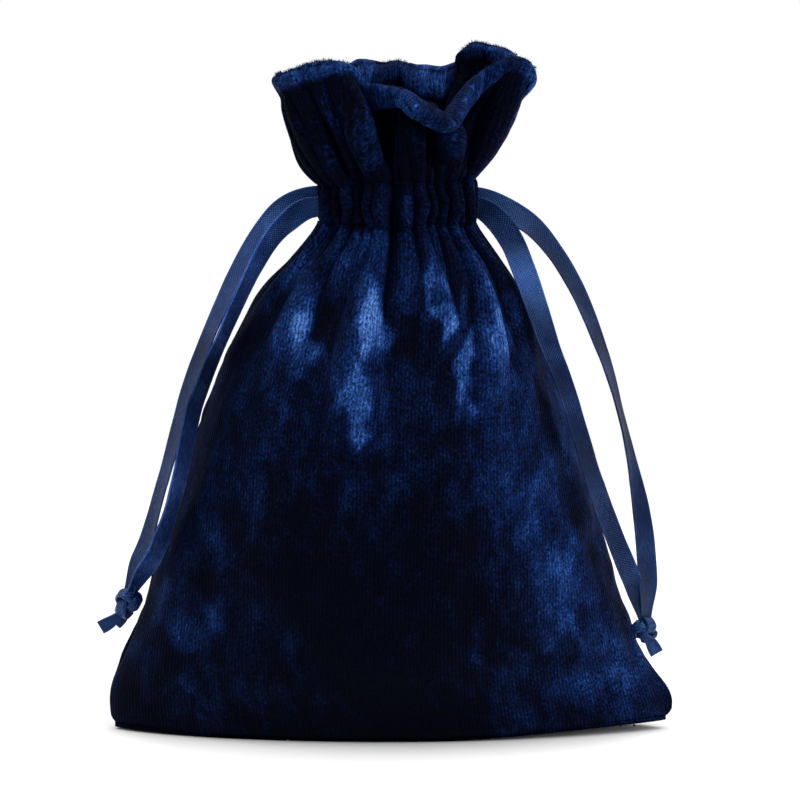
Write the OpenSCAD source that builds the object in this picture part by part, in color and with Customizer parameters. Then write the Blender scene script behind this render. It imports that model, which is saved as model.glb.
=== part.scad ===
// Drawstring gift pouch: a velvet bag with a gathered neck, a ruffle above it,
// and two satin ribbons that run through the channel and hang at the sides.
// Millimetres. Origin at the centre of the base, +Z up, +Y towards the back.

/* [Bag] */
// Width across the two bottom corners
base_w = 134; // [120:1:150]
// Depth of the flat underside
base_d = 35; // [28:1:44]
// Depth of the belly at its fullest
belly_d = 73; // [60:1:80]
// Height from the base to the rim of the ruffle
rim_z = 161; // [156:1:168]

/* [Neck] */
// Width of the gathered neck
neck_w = 39; // [34:1:44]
// Depth of the gathered neck
neck_d = 25; // [22:1:30]
// Width of the ruffle at its rim
ruffle_w = 61; // [54:1:66]
// Depth of the ruffle at its rim
ruffle_d = 42; // [36:1:48]
// Height of the lower stitch line of the channel
channel_z = 121; // [118:1:123]
// Distance between the two stitch lines of the channel
channel_h = 11; // [11:0.5:12]

/* [Materials] */
// Thickness of the velvet, pile included
cloth_t = 1.1; // [0.9:0.1:1.3]
// Width of the satin ribbon
ribbon_w = 6.4; // [5:0.1:7]
// Thickness of the satin ribbon
ribbon_t = 0.5; // [0.4:0.1:0.6]
// Radius of the sewing thread
thread_r = 0.3; // [0.2:0.05:0.35]

/* [Hidden] */

velvet = [0.03, 0.06, 0.22];
satin = [0.07, 0.13, 0.34];
thread = [0.02, 0.04, 0.14];

// Panels: cells across and up the wall, and the gap left along each seam.
across = 32;
up = 15;
seam_gap = 0.15;
wall_top_z = channel_z - 1;
// The underside sinks this far so that one cut leaves it flat.
trim = 0.4;

// Outline of the body: [height, half width, half depth, pointedness of the seam].
body_outline = [
    [-trim, base_w / 2 - 1, base_d / 2, 1.5],
    [6, base_w / 2, base_d / 2 + 5, 1.45],
    [20, base_w / 2 - 6.5, 0.41 * belly_d, 1.3],
    [40, base_w / 2 - 12.5, 0.48 * belly_d, 1.15],
    [60, base_w / 2 - 18, belly_d / 2, 1.05],
    [82, base_w / 2 - 25, 0.45 * belly_d, 1],
    [97, neck_w / 2 + 14.5, 0.36 * belly_d, 1],
    [109, neck_w / 2 + 6.5, neck_d / 2 + 6, 1],
    [wall_top_z, neck_w / 2 + 0.4, neck_d / 2 + 0.6, 1]
];

// Outline of the neck and the ruffle, in the same form.
neck_outline = [
    [channel_z, neck_w / 2, neck_d / 2, 1],
    [channel_z + channel_h, neck_w / 2, neck_d / 2, 1],
    [(channel_z + channel_h + rim_z) / 2, ruffle_w / 2 - 4.5, ruffle_d / 2 - 3.5, 1],
    [rim_z, ruffle_w / 2, ruffle_d / 2, 1]
];

// The neck is in two halves with a slit at each side, where the ribbons come out.
// Above the channel the halves are loose flaps that lean together or apart.
slit_gap = 2.5;
rim_gap = 4.5;
flap_rise = 1.8;
flap_z = channel_z + channel_h + 1;
fold_gap = 0.8;
pleats = 5;
pleat_depth = 1.1;
pleat_low_z = 70;
channel_pleat = 0.35;
flap_pleat = 1.4;
pleat_rise = 20;

// The channel is a gap between two layers, and holds two ribbons one above the other.
channel_room = 1.7;
layer_gap = 0.1;
run_h = 4;
left_run_z = channel_z + 3.4;
right_run_z = channel_z + 8;

stitch_pitch = 3.2;
stitch_reach = 2.6;
stitch_count = 12;
stitch_span = 0.85;
lower_stitch_z = channel_z + 0.9;
upper_stitch_z = channel_z + channel_h - 0.5;
seam_reach = 0.7;
allowance_w = 5;
allowance_t = 0.6;

function lerp(a, b, t) = a + (b - a) * t;
function ease(t) = t * t * (3 - 2 * t);
function clamp01(t) = min(1, max(0, t));

// One column of an outline at height z, along a smooth curve through its points.
function slope(table, i, k) =
    i == 0 ? (table[1][k] - table[0][k]) / (table[1][0] - table[0][0]) :
    i == len(table) - 1 ? (table[i][k] - table[i - 1][k]) / (table[i][0] - table[i - 1][0]) :
    (table[i + 1][k] - table[i - 1][k]) / (table[i + 1][0] - table[i - 1][0]);
function cell(table, z, i = 0) = i >= len(table) - 2 || z < table[i + 1][0] ? i : cell(table, z, i + 1);
function hermite(table, z, k, i) =
    let (h = table[i + 1][0] - table[i][0], t = clamp01((z - table[i][0]) / h))
    (1 + 2 * t) * (1 - t) * (1 - t) * table[i][k] + t * (1 - t) * (1 - t) * h * slope(table, i, k)
    + t * t * (3 - 2 * t) * table[i + 1][k] + t * t * (t - 1) * h * slope(table, i + 1, k);
function column(table, z, k) = hermite(table, z, k, cell(table, z));

// A point on the front wall: u runs from -1 at the left seam to 1 at the right one.
function wave(u, depth) = depth * (1 - u * u) * cos(180 * pleats * u);
function wall_point(table, u, z, inset, depth) =
    let (w = column(table, z, 1) - inset, d = column(table, z, 2) - inset, n = column(table, z, 3))
    [w * sin(90 * u), -d * pow(cos(90 * u), n) - wave(u, depth), z];

// Pleats fade out down the body and are shallow inside the channel.
function body_pleat(z) = pleat_depth * ease(clamp01((z - pleat_low_z) / (wall_top_z - pleat_low_z)));
function neck_pleat(z) =
    pleat_depth * (channel_pleat + flap_pleat * ease(clamp01((z - channel_z - channel_h) / pleat_rise)));

// A closed shell from a grid of outer points and a grid of inner points.
function grid_faces(rows, cols, at, flip) = [
    for (r = [0:rows - 2], c = [0:cols - 2])
    let (a = at + r * cols + c, b = a + 1, e = a + cols, f = e + 1)
    each flip ? [[a, e, b], [b, e, f]] : [[a, b, e], [b, f, e]]
];
function rim_faces(edge, at, flip) = [
    for (i = [0:len(edge) - 1])
    let (a = edge[i], b = edge[(i + 1) % len(edge)], e = a + at, f = b + at)
    each flip ? [[a, b, e], [b, f, e]] : [[a, e, b], [b, e, f]]
];
function border(rows, cols) = concat(
    [for (c = [0:cols - 2]) c],
    [for (r = [0:rows - 2]) r * cols + cols - 1],
    [for (c = [cols - 1:-1:1]) (rows - 1) * cols + c],
    [for (r = [rows - 1:-1:1]) r * cols]
);
module shell(outer, inner) {
    rows = len(outer);
    cols = len(outer[0]);
    points = concat([for (row = outer) each row], [for (row = inner) each row]);
    faces = concat(
        grid_faces(rows, cols, 0, true),
        grid_faces(rows, cols, rows * cols, false),
        rim_faces(border(rows, cols), rows * cols, true)
    );
    polyhedron(points, faces);
}

// The front panel: from the bottom seam along the underside, then up the wall.
under_rows = 3;
function panel_row(i, inset) =
    let (
        under = i < under_rows,
        z = under ? -trim : lerp(-trim, wall_top_z, pow((i - under_rows) / up, 0.85)),
        share = under ? i / under_rows : 1,
        floor_z = max(z, inset == 0 ? -trim : cloth_t)
    )
    [for (j = [0:across])
        let (p = wall_point(body_outline, lerp(-1, 1, j / across), z, inset, body_pleat(z)))
        [p[0], min(p[1] * share, 0) - seam_gap, inset == 0 ? p[2] : floor_z]];
module wall_panel() {
    difference() {
        shell(
            [for (i = [0:under_rows + up]) panel_row(i, 0)],
            [for (i = [0:under_rows + up]) panel_row(i, cloth_t)]
        );
        translate([-base_w, -base_w, -10]) cube([2 * base_w, 2 * base_w, 10]);
    }
}
module front_panel() {
    color(velvet) wall_panel();
}
module back_panel() {
    color(velvet) mirror([0, 1, 0]) wall_panel();
}

// A point on the front half of the neck: s runs from -1 at the left slit to 1 at the
// right one, and gap is how far the slit stands from the centre plane.
function neck_point(s, z, inset, gap) =
    let (
        w = column(neck_outline, z, 1) - inset,
        d = column(neck_outline, z, 2) - inset,
        u = s * acos(gap / d) / 90
    )
    [w * sin(90 * u), -d * cos(90 * u) - wave(s, neck_pleat(z)), z];

// One layer of a half: channel wall, lining, flap, facing, or ribbon in the channel.
function layer_row(t, low, high, inset, gaps, rise) =
    let (z = lerp(low, high, t), gap = lerp(gaps[0], gaps[1], t))
    [for (j = [0:across])
        let (s = lerp(-1, 1, j / across))
        neck_point(s, z, inset, gap) + [0, 0, rise * s * s * (1 - t)]];
module layer(low, high, rows, inset, thick, gaps = [slit_gap, slit_gap], rise = 0) {
    shell(
        [for (i = [0:rows]) layer_row(i / rows, low, high, inset, gaps, rise)],
        [for (i = [0:rows]) layer_row(i / rows, low, high, inset + thick, gaps, rise)]
    );
}

channel_rows = 3;
flap_rows = 8;
module front_channel() {
    color(velvet) layer(channel_z, flap_z - fold_gap, channel_rows, 0, cloth_t);
}
module front_lining() {
    color(velvet) layer(channel_z, flap_z - fold_gap, channel_rows, cloth_t + channel_room, cloth_t);
}
module front_ruffle() {
    color(velvet) layer(flap_z, rim_z, flap_rows, 0, cloth_t, [slit_gap, rim_gap], flap_rise);
}
module front_facing() {
    color(velvet)
        layer(flap_z, rim_z, flap_rows, cloth_t + layer_gap, cloth_t, [slit_gap, rim_gap], flap_rise);
}
module back_channel() {
    mirror([0, 1, 0]) front_channel();
}
module back_lining() {
    mirror([0, 1, 0]) front_lining();
}
module back_ruffle() {
    mirror([0, 1, 0]) front_ruffle();
}
module back_facing() {
    mirror([0, 1, 0]) front_facing();
}

// Stitches go straight through both layers of the neck.
module neck_stitches(z) {
    inset = cloth_t + channel_room / 2;
    color(thread) for (i = [0:stitch_count - 1]) {
        s = lerp(-stitch_span, stitch_span, i / (stitch_count - 1));
        p = neck_point(s, z, inset, slit_gap);
        facing = atan2(p[0] * neck_d * neck_d, -p[1] * neck_w * neck_w);
        translate(p) rotate([90, 0, facing])
            cylinder(h = 2 * stitch_reach, r = thread_r, center = true, $fn = 24);
    }
}
module front_upper_stitching() {
    neck_stitches(upper_stitch_z);
}
module front_lower_stitching() {
    neck_stitches(lower_stitch_z);
}
module back_upper_stitching() {
    mirror([0, 1, 0]) front_upper_stitching();
}
module back_lower_stitching() {
    mirror([0, 1, 0]) front_lower_stitching();
}

// The part of a ribbon inside the channel, in the front half of the neck.
module ribbon_run(z) {
    inset = cloth_t + (channel_room - ribbon_t) / 2;
    color(satin) layer(z - run_h / 2, z + run_h / 2, 1, inset, ribbon_t);
}
module left_front_run() {
    ribbon_run(left_run_z);
}
module left_back_run() {
    mirror([0, 1, 0]) ribbon_run(left_run_z);
}
module right_front_run() {
    ribbon_run(right_run_z);
}
module right_back_run() {
    mirror([0, 1, 0]) ribbon_run(right_run_z);
}

// Stitches that close the side seams, at an even pitch up the outline.
module side_stitches(side) {
    first_z = 6;
    count = floor((wall_top_z - 2 * first_z) / stitch_pitch);
    color(thread) for (i = [0:count]) {
        z = first_z + i * stitch_pitch;
        translate([side * (column(body_outline, z, 1) - cloth_t), 0, z]) rotate([90, 0, 0])
            cylinder(h = 2 * seam_reach, r = thread_r, center = true, $fn = 24);
    }
}
module left_side_seam() {
    side_stitches(-1);
}
module right_side_seam() {
    side_stitches(1);
}
module bottom_seam() {
    end_gap = 6;
    count = floor((base_w - 2 * end_gap) / stitch_pitch);
    color(thread) for (i = [0:count])
        translate([(i - count / 2) * stitch_pitch, 0, cloth_t / 2]) rotate([90, 0, 0])
            cylinder(h = 2 * seam_reach, r = thread_r, center = true, $fn = 24);
}

// The edges of the two panels, turned in together inside the bag.
allowance_gap = 0.7;
module side_allowance(side) {
    low_z = 9;
    rows = 12;
    function edge(i, reach, y) =
        let (z = lerp(low_z, wall_top_z - 1, i / rows), x = column(body_outline, z, 1) - cloth_t - allowance_gap)
        [side * (x - reach), y, z];
    function face(y) = [for (i = [0:rows]) [edge(i, 0, y), edge(i, allowance_w, y)]];
    color(velvet) shell(face(-side * allowance_t / 2), face(side * allowance_t / 2));
}
module left_seam_allowance() {
    side_allowance(-1);
}
module right_seam_allowance() {
    side_allowance(1);
}
module bottom_seam_allowance() {
    length = base_w - 20;
    color(velvet) translate([-length / 2, -allowance_t / 2, cloth_t + allowance_gap])
        cube([length, allowance_t, allowance_w]);
}

// A flat ribbon along a route: each point is [x, y, z, turn], and turn is the angle
// of its width away from the XZ plane, in degrees.
function unit(v) = v / norm(v);
function place(p) = [p[0], p[1], p[2]];
function tangent(route, i) =
    unit(place(route[min(i + 1, len(route) - 1)]) - place(route[max(i - 1, 0)]));
function ribbon_row(route, i, t) =
    let (
        along = tangent(route, i),
        flat = unit(cross(along, [0, 1, 0])),
        out = cross(flat, along),
        turn = route[i][3],
        wide = flat * cos(turn) + out * sin(turn),
        thick = cross(wide, along)
    )
    [for (s = [-0.5, 0.5]) place(route[i]) + wide * s * ribbon_w + thick * t / 2];

module ribbon(route) {
    color(satin) shell(
        [for (i = [0:len(route) - 1]) ribbon_row(route, i, -ribbon_t)],
        [for (i = [0:len(route) - 1]) ribbon_row(route, i, ribbon_t)]
    );
}

// Routes of the ribbons outside the channel, from the slit to the knot.
left_front_bend = [
    [-20.5, -1.6, 125, 10], [-25, -2.4, 122, 10], [-28.6, -3.8, 116.5, 15], [-31.4, -5.4, 111, 25]
];
left_back_bend = [
    [-20.5, 1.2, 128, 15], [-26, 1.4, 126, 20], [-31, 1, 120.5, 25], [-34.8, 0, 114, 35]
];
left_front_route = [
    [-31.5, -5.6, 110.6, 25], [-34.8, -8.6, 104.5, 40], [-38.6, -11.6, 97, 55], [-42.4, -14.2, 89, 55],
    [-45.4, -16, 81, 45], [-47.4, -17.2, 72, 40], [-49.6, -17.4, 62, 40], [-52.8, -16, 52.5, 35],
    [-56.2, -13.6, 44, 30], [-59.4, -11.4, 37, 45], [-61.4, -10, 33, 60]
];
left_back_route = [
    [-35, 0, 113.6, 35], [-38.8, -1.2, 106, 45], [-43.2, -2.8, 96, 50], [-46.8, -4.4, 86, 50],
    [-49.8, -5.6, 76, 50], [-52.2, -6.6, 66, 50], [-54.8, -7.4, 56, 50], [-58, -8, 46, 50],
    [-60.8, -8.4, 38.5, 55], [-62.6, -8.6, 33, 60]
];
right_front_bend = [
    [20.5, -1.6, 126, 0], [25, -2.6, 123.5, 0], [28.4, -4.2, 118.5, 0], [30.8, -6, 112.5, 0]
];
right_back_bend = [
    [20.5, 1.2, 128.5, 15], [26.5, 1.6, 127, 25], [33, 1.6, 123.5, 30], [38.4, 1, 117.5, 35]
];
right_front_route = [
    [30.9, -7.1, 112.1, 0], [33.4, -9.8, 104, -5], [36.6, -12.8, 95, -10], [40, -15.4, 86, -10],
    [43.4, -17.2, 76, -10], [46.4, -17.8, 66, -10], [49.6, -17.2, 56, -5], [53.4, -15.6, 46.5, 0],
    [57.2, -13.2, 38, 10], [60.2, -11.2, 30.5, 40]
];
right_back_route = [
    [39.1, 0.9, 116.2, 38], [43, -0.2, 109, 40], [47.4, -1.8, 99, 50], [51.2, -3.4, 88, 65],
    [54.4, -4.8, 77, 80], [57.6, -6.2, 66, 70], [60.4, -7.4, 55, 30], [61.8, -8.4, 45, 10],
    [62, -9.2, 36, 20], [61.4, -9.6, 30.5, 50]
];
left_knot_place = [-62.8, -9, 30.2];
right_knot_place = [61.2, -10, 27];
left_tail_a = [[-63.6, -10, 29, 30], [-66, -10.4, 26.6, 20], [-68.6, -10.6, 24, 10]];
left_tail_b = [[-61.6, -5.4, 27, 10], [-62, -5, 24, 10], [-62.6, -4.8, 21, 10]];
right_tail_a = [[62, -11.4, 25, 20], [63.2, -11.8, 22.4, 10], [64.8, -12, 19.4, 0]];
right_tail_b = [[62.6, -8.2, 24.6, 10], [64.6, -8, 22, 10], [66.6, -8, 19.2, 10]];

module left_bends() {
    ribbon(left_front_bend);
    ribbon(left_back_bend);
}
module right_bends() {
    ribbon(right_front_bend);
    ribbon(right_back_bend);
}

module left_front_strand() {
    ribbon(left_front_route);
}
module left_back_strand() {
    ribbon(left_back_route);
}
module right_front_strand() {
    ribbon(right_front_route);
}
module right_back_strand() {
    ribbon(right_back_route);
}
module left_tails() {
    ribbon(left_tail_a);
    ribbon(left_tail_b);
}
module right_tails() {
    ribbon(right_tail_a);
    ribbon(right_tail_b);
}

// An overhand knot: a tight body with two wraps round it.
knot_r = 2.7;
wrap_r = 0.8;
module knot(at, lean) {
    color(satin) translate(at) rotate([0, lean, 0]) {
        sphere(r = knot_r, $fn = 32);
        for (side = [-1, 1]) translate([0, 0, side]) rotate([8 * side, 0, 0])
            rotate_extrude($fn = 32) translate([knot_r - wrap_r / 2, 0]) circle(r = wrap_r, $fn = 24);
    }
}
module left_knot() {
    knot(left_knot_place, 28);
}
module right_knot() {
    knot(right_knot_place, -15);
}

front_panel();
back_panel();
left_side_seam();
right_side_seam();
bottom_seam();
left_seam_allowance();
right_seam_allowance();
bottom_seam_allowance();
front_channel();
front_lining();
front_upper_stitching();
front_lower_stitching();
left_front_run();
right_front_run();
front_ruffle();
front_facing();
back_channel();
back_lining();
back_upper_stitching();
back_lower_stitching();
left_back_run();
right_back_run();
back_ruffle();
back_facing();
left_bends();
left_front_strand();
left_back_strand();
left_knot();
left_tails();
right_bends();
right_front_strand();
right_back_strand();
right_knot();
right_tails();
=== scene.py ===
"""Navy crushed velvet drawstring pouch, standing, with satin ribbons.

Lengths in this file are millimetres unless a name says otherwise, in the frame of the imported
model: +Z up, +X to the right seen from the front, +Y towards the back.
"""

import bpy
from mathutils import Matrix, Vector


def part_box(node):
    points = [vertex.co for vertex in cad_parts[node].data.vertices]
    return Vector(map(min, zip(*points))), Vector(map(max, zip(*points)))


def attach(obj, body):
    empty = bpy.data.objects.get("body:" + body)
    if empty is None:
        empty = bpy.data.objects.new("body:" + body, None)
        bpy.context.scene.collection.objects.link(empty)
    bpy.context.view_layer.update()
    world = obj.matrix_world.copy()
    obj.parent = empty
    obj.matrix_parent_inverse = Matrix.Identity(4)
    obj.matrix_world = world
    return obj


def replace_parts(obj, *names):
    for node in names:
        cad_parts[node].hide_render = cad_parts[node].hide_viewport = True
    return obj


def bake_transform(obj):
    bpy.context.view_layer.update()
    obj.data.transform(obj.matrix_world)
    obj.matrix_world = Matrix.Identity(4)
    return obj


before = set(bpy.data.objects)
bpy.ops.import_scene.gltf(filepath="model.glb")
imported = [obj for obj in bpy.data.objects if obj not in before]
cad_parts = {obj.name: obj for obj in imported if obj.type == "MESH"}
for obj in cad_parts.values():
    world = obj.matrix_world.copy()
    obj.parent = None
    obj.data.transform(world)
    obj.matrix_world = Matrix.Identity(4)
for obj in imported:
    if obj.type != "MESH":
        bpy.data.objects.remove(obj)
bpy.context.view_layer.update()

import math

import bpy
import numpy as np
from mathutils import Vector

MM = 0.001


# ---------------- the frame's own sizes

def box_mm(node):
    """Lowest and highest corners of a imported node, in millimetres."""
    low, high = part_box(node)
    return np.array(low) / MM, np.array(high) / MM


panel_low, panel_high = box_mm("front_panel")
ruffle_low, ruffle_high = box_mm("front_ruffle")
BASE_HALF_W = panel_high[0]
BELLY_HALF_D = -panel_low[1]
CHANNEL_Z = box_mm("front_channel")[0][2]
FLAP_Z = ruffle_low[2]
RIM_Z = ruffle_high[2]
CLOTH_HALF_W = BASE_HALF_W  # the pouch is cut as wide as its base


# ---------------- small maths

def smoothstep(x, low=0.0, high=1.0):
    t = np.clip((np.asarray(x, float) - low) / (high - low), 0, 1)
    return t * t * (3 - 2 * t)


def unit(vectors):
    """Vectors brought to length 1."""
    return vectors / np.maximum(np.linalg.norm(vectors, axis=-1, keepdims=True), 1e-9)


def bell(x, centre, width):
    """1 at the centre, and next to nothing two widths away."""
    return np.exp(-((x - centre) / width) ** 2)


def rounded(distance, radius):
    """A quarter round: 0 at an edge, 1 from radius inwards."""
    return np.sqrt(1 - np.clip(1 - distance / radius, 0, 1) ** 2)


def curve_through(knots, values, x):
    """Smooth curve (Catmull-Rom slopes) through values at knots, for one or more columns."""
    knots = np.asarray(knots, float)
    values = np.asarray(values, float)
    x = np.clip(np.asarray(x, float), knots[0], knots[-1])
    slopes = np.gradient(values, knots, axis=0)
    i = np.clip(np.searchsorted(knots, x, side="right") - 1, 0, len(knots) - 2)
    h = knots[i + 1] - knots[i]
    t = (x - knots[i]) / h
    if values.ndim > 1:
        h, t = h[..., None], t[..., None]
    a = (1 + 2 * t) * (1 - t) ** 2 * values[i] + t * (1 - t) ** 2 * h * slopes[i]
    b = t * t * (3 - 2 * t) * values[i + 1] + t * t * (t - 1) * h * slopes[i + 1]
    return a + b


def noise(u, v, seed):
    """Smooth lattice noise from -1 to 1, one cell per unit of u and v."""
    cells, start = 97, 300
    lattice = np.random.default_rng(seed).uniform(-1, 1, (cells, cells))
    u, v = np.broadcast_arrays(np.asarray(u, float) + start, np.asarray(v, float) + start)
    iu, iv = np.floor(u).astype(int), np.floor(v).astype(int)
    fu, fv = u - iu, v - iv
    fu, fv = fu ** 3 * (fu * (fu * 6 - 15) + 10), fv ** 3 * (fv * (fv * 6 - 15) + 10)

    def corner(a, b):
        return lattice[(iu + a) % cells, (iv + b) % cells]

    low = corner(0, 0) * (1 - fu) + corner(1, 0) * fu
    high = corner(0, 1) * (1 - fu) + corner(1, 1) * fu
    return low * (1 - fv) + high * fv


def grid_normals(points):
    """Unit normals of a grid of points, from its rows and columns."""
    return unit(np.cross(np.gradient(points, axis=1), np.gradient(points, axis=0)))


# ---------------- mesh building

def add_to_scene(name, data):
    obj = bpy.data.objects.new(name, data)
    bpy.context.scene.collection.objects.link(obj)
    return obj


def make_object(name, verts, faces, uvs, material, body, slot, smooth=True):
    """A mesh object in metres. uvs holds, for each vertex, its place on the cloth in millimetres
    and, where it has a third column, the lay: the velvet's pile lay with painted highlights and painted
    shade, or the satin's painted shine."""
    mesh = bpy.data.meshes.new(name)
    mesh.from_pydata((np.asarray(verts) * MM).tolist(), [], [list(f) for f in faces])
    mesh.validate()
    if uvs is not None:
        layer = mesh.uv_layers.new(name="Cloth")
        index = np.zeros(len(mesh.loops), np.int64)
        mesh.loops.foreach_get("vertex_index", index)
        layer.data.foreach_set("uv", uvs[index, :2].astype(np.float32).ravel())
        if uvs.shape[1] > 2:
            lay_and_painted_light = mesh.attributes.new("lay_and_painted_light", "FLOAT", "POINT")
            lay_and_painted_light.data.foreach_set("value", uvs[:, 2].astype(np.float32))
    mesh.polygons.foreach_set("use_smooth", [smooth] * len(mesh.polygons))
    mesh.materials.append(material)
    mesh.update()
    obj = add_to_scene(name, mesh)
    if body:
        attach(obj, body)
    return obj


def grid_quads(index):
    """Quads over a grid of vertex numbers."""
    a, b = index[:-1, :-1], index[:-1, 1:]
    c, d = index[1:, 1:], index[1:, :-1]
    return np.stack([a, b, c, d], axis=-1).reshape(-1, 4)


# Painted shade: the inner face of every sheet gets its lay lowered by this much.
INNER_FACE_PAINTED_SHADE = -0.16


def slab(middle, thickness, uv, closed_sides=(False, False, True, True)):
    """A sheet of cloth with two faces, from its middle surface and its thickness there.

    closed_sides tells, for the first row, last row, first column and last column, whether the
    faces run together there; an edge that doesn't gets a strip of its own.
    """
    offset = grid_normals(middle) * thickness[..., None] / 2
    verts = np.concatenate([(middle + offset).reshape(-1, 3), (middle - offset).reshape(-1, 3)])
    first = np.arange(thickness.size).reshape(thickness.shape)
    welded = np.zeros(thickness.shape, bool)
    for edge, closed in zip((np.s_[0, :], np.s_[-1, :], np.s_[:, 0], np.s_[:, -1]), closed_sides):
        welded[edge] |= closed
    second = np.where(welded, first, first + thickness.size)
    quads = [grid_quads(first), grid_quads(second)[:, ::-1]]
    strips = ((first[0], second[0]), (second[-1], first[-1]),
              (second[:, 0], first[:, 0]), (first[:, -1], second[:, -1]))
    for (a, b), closed in zip(strips, closed_sides):
        if not closed:
            quads.append(np.stack([a[1:], a[:-1], b[:-1], b[1:]], axis=-1))
    corners = [list(dict.fromkeys(quad)) for quad in np.concatenate(quads).tolist()]
    corners = [face for face in corners if len(face) > 2]
    used = np.zeros(len(verts), bool)
    used[np.concatenate(corners)] = True
    number = np.cumsum(used) - 1
    faces = [number[face].tolist() for face in corners]
    # The inner face carries painted shade through its lower lay.
    inside = uv.copy()
    inside[..., 2:] += INNER_FACE_PAINTED_SHADE
    uvs = np.concatenate([face.reshape(-1, uv.shape[-1]) for face in (uv, inside)])
    return verts[used], faces, uvs[used]


def join(parts):
    """One piece from several, each of vertices, faces and perhaps cloth coordinates."""
    faces, count = [], 0
    for part in parts:
        faces += [[corner + count for corner in face] for face in part[1]]
        count += len(part[0])
    uvs = np.concatenate([part[2] for part in parts]) if len(parts[0]) > 2 else None
    return np.concatenate([part[0] for part in parts]), faces, uvs


# ---------------- node materials

class Nodes:
    """Shorthand for building one material's node tree."""

    def __init__(self, name):
        self.material = bpy.data.materials.new(name)
        self.material.use_nodes = True
        self.tree = self.material.node_tree
        self.tree.nodes.clear()

    def add(self, kind, inputs=None, **settings):
        node = self.tree.nodes.new(kind)
        for key, value in settings.items():
            setattr(node, key, value)
        for key, value in (inputs or {}).items():
            if isinstance(value, bpy.types.NodeSocket):
                self.tree.links.new(value, node.inputs[key])
            else:
                node.inputs[key].default_value = value
        return node

    def ramp(self, source, stops):
        node = self.add("ShaderNodeValToRGB", {"Fac": source})
        ramp = node.color_ramp
        while len(ramp.elements) < len(stops):
            ramp.elements.new(0.5)
        for element, (place, colour) in zip(ramp.elements, stops):
            element.position = place
            element.color = (*colour, 1)
        return node.outputs["Color"]

    def maths(self, operation, a, b=0.0):
        return self.add("ShaderNodeMath", {0: a, 1: b}, operation=operation).outputs[0]

    def plus(self, a, b):
        return self.maths("ADD", a, b)

    def times(self, a, b):
        return self.maths("MULTIPLY", a, b)

    def span(self, value, low, high, to_low, to_high):
        return self.add("ShaderNodeMapRange", {"Value": value, "From Min": low, "From Max": high,
                                               "To Min": to_low, "To Max": to_high}).outputs["Result"]

    def cloth(self, scale=(1, 1, 1)):
        """Coordinates in millimetres of cloth, from the piece's own UV map."""
        uv = self.add("ShaderNodeUVMap", uv_map="Cloth").outputs["UV"]
        return self.add("ShaderNodeMapping", {"Vector": uv, "Scale": scale}).outputs["Vector"]

    def lay_and_painted_light(self):
        return self.add("ShaderNodeAttribute", attribute_name="lay_and_painted_light").outputs["Fac"]

    def noise(self, place, scale, detail, roughness=0.5, distortion=0.0):
        return self.add("ShaderNodeTexNoise", {
            "Vector": place, "Scale": scale, "Detail": detail, "Roughness": roughness,
            "Distortion": distortion}).outputs["Fac"]

    def bands(self, place, scale, distortion, direction="X", **more):
        return self.add("ShaderNodeTexWave", {
            "Vector": place, "Scale": scale, "Distortion": distortion,
            **{key.replace("_", " "): value for key, value in more.items()}},
            wave_type="BANDS", bands_direction=direction).outputs["Fac"]

    def tint(self, colour, factor):
        return self.add("ShaderNodeMix", {6: colour, 7: factor, 0: 1.0},
                        data_type="RGBA", blend_type="MULTIPLY").outputs[2]

    def bump(self, height, strength, distance, **more):
        return self.add("ShaderNodeBump", {"Height": height, "Strength": strength,
                                           "Distance": distance * MM, **more}).outputs["Normal"]

    def principled(self, inputs):
        return self.finish(self.add("ShaderNodeBsdfPrincipled", inputs))

    def finish(self, shader):
        self.add("ShaderNodeOutputMaterial", {"Surface": shader.outputs[0]})
        return self.material


WALE_PITCH = 0.9
WEAVE_PITCH = 0.55
BANDS_TO_A_UNIT = 3.18  # of a wave texture at scale 1
RIBBON_W = 6.35
RIBBON_T = 0.34


def velvet_material(name, painted_shade_level=1.0):
    """Crushed knit velvet: patches of pile laid different ways, over fine vertical ribs, with painted
    highlights and painted shade taken from each piece's lay.
    """
    n = Nodes(name)
    tall = n.cloth((1.0, 0.62, 1.0))
    patches = n.noise(tall, 0.055, 6.0, 0.60, 0.6)
    clouds = n.noise(tall, 0.21, 4.0, 0.62, 0.35)
    tufts = n.noise(n.cloth((1.7, 0.9, 1.0)), 1.3, 3.0, 0.75)
    fibres = n.noise(n.cloth((1.5, 1.0, 1.0)), 1.3, 3.0, 0.80, 0.5)
    ribs = n.bands(n.cloth(), 1 / WALE_PITCH / BANDS_TO_A_UNIT, 1.6, Detail=2.0, Detail_Scale=1.4,
                   Detail_Roughness=0.6)
    crush = n.plus(n.span(patches, 0.30, 0.70, -0.20, 0.20), n.span(clouds, 0.30, 0.70, -0.17, 0.17))
    lay_and_painted_light = n.plus(n.plus(n.lay_and_painted_light(), crush), n.span(tufts, 0.30, 0.70, -0.20, 0.20))
    # The ramp runs from black in painted shade to a painted highlight colour at its top, by the lay with
    # the velvet's own random crush and tufts added.
    base = n.ramp(lay_and_painted_light, [(0.08, (0.0006, 0.0006, 0.0022)), (0.28, (0.0010, 0.0021, 0.0110)),
                        (0.52, (0.0022, 0.0098, 0.0500)), (0.76, (0.0085, 0.0350, 0.145)),
                        (1.00, (0.0400, 0.1020, 0.300))])
    # A level below 1 darkens the whole velvet: painted shade for the pieces inside the bag.
    fleck = n.times(n.span(ribs, 0, 1, 0.62 * painted_shade_level, 1.22 * painted_shade_level),
                    n.span(fibres, 0.38, 0.62, 0.15, 2.05))
    rib_height = n.plus(n.times(ribs, 0.5), n.times(fibres, 0.8))
    return n.principled({
        "Base Color": n.tint(base, fleck), "Roughness": n.span(lay_and_painted_light, 0.2, 0.9, 0.85, 0.55),
        "Normal": n.bump(rib_height, 0.8, 0.35, Normal=n.bump(crush, 0.6, 1.6)),
        "Specular IOR Level": 0.06, "Specular Tint": (0.16, 0.34, 1.0, 1.0),
        "Sheen Weight": 0.035, "Sheen Roughness": 0.30, "Sheen Tint": (0.06, 0.18, 0.80, 1.0)})


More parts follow.
